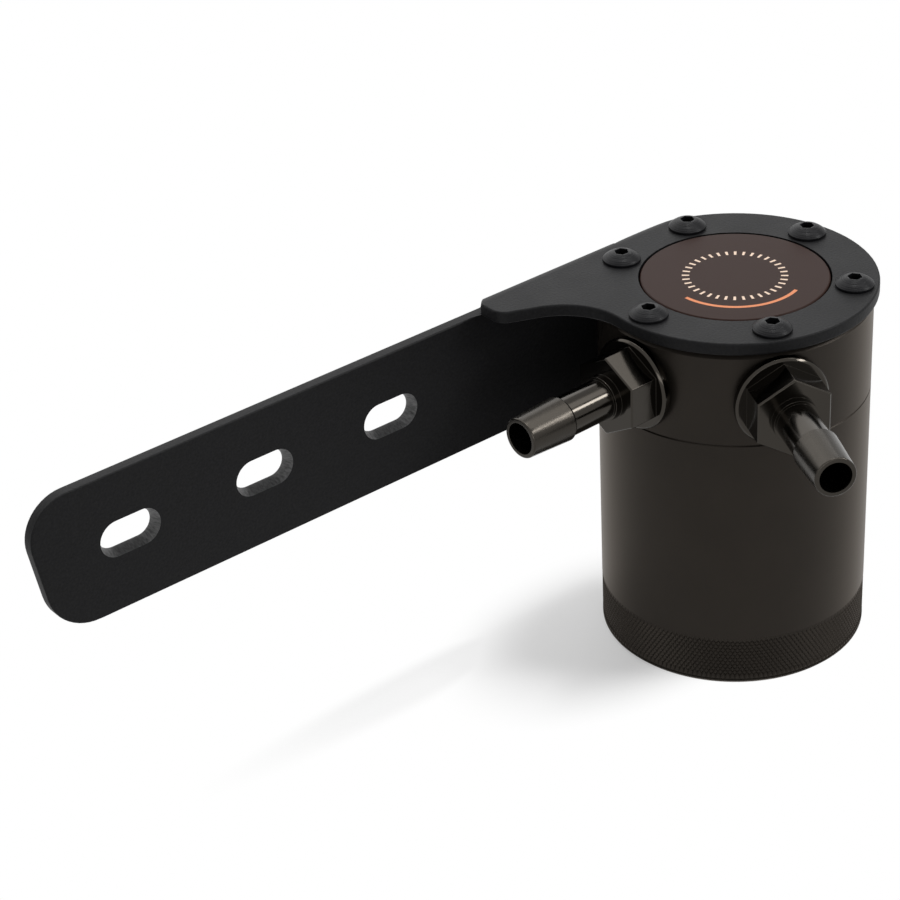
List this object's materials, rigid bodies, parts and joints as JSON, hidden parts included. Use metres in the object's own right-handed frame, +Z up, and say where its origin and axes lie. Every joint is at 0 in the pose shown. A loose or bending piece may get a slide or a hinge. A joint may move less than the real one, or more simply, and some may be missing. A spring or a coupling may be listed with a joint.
{
  "type": "oil catch can",
  "caption": "Compact cylindrical oil catch can with a knurled screw-off cup, hose barb fittings on the head and a folded mounting bracket with a slotted arm.",
  "frame": {"origin": "centre of the can's flat base", "axes": "+Z up along the can's axis; +X away from the bracket's arm, which runs along the back towards -X; +Y to the back, towards the panel the arm is bolted to"},
  "size_m": [0.2054, 0.0983, 0.0952],
  "materials": {
    "can_anodised": "satin black anodised, knurled foot",
    "head_anodised": "satin black anodised",
    "bracket_coated": "matte black powder coat",
    "badge_anodised": "satin brown-black anodised",
    "fitting_black": "gloss black anodised",
    "screw_black": "black oxide",
    "seal_rubber": "matte",
    "sintered_bronze": "porous sintered",
    "tube_aluminium": "drawn",
    "baffle_steel": "brushed"
  },
  "bodies": {
    "head": {"port_head": "head_anodised", "mounting_bracket": "bracket_coated", "bracket_screws": "screw_black", "badge_disc": "badge_anodised", "inlet_fitting": "fitting_black", "outlet_fitting": "fitting_black", "inlet_seal": "seal_rubber", "outlet_seal": "seal_rubber", "bronze_filter": "sintered_bronze", "filter_gasket": "seal_rubber", "drop_tube": "tube_aluminium", "baffle_plate": "baffle_steel", "baffle_screws": "baffle_steel"},
    "seal": {"can_seal": "seal_rubber"},
    "can": {"can_body": "can_anodised"}
  },
  "joints": [
    {"name": "can_unscrew", "type": "hinge", "parent": "head", "child": "seal", "pos_m": [0, 0, 0.0646], "axis": [0, 0, -1], "range_deg": [0, 1440]},
    {"name": "can_drop", "type": "slide", "parent": "seal", "child": "can", "axis": [0, 0, -1], "range_m": [0, 0.0081]}
  ],
  "couplings": [
    {"joint": "can_drop", "follows": "can_unscrew", "m_per_rad": 0.00031831}
  ]
}
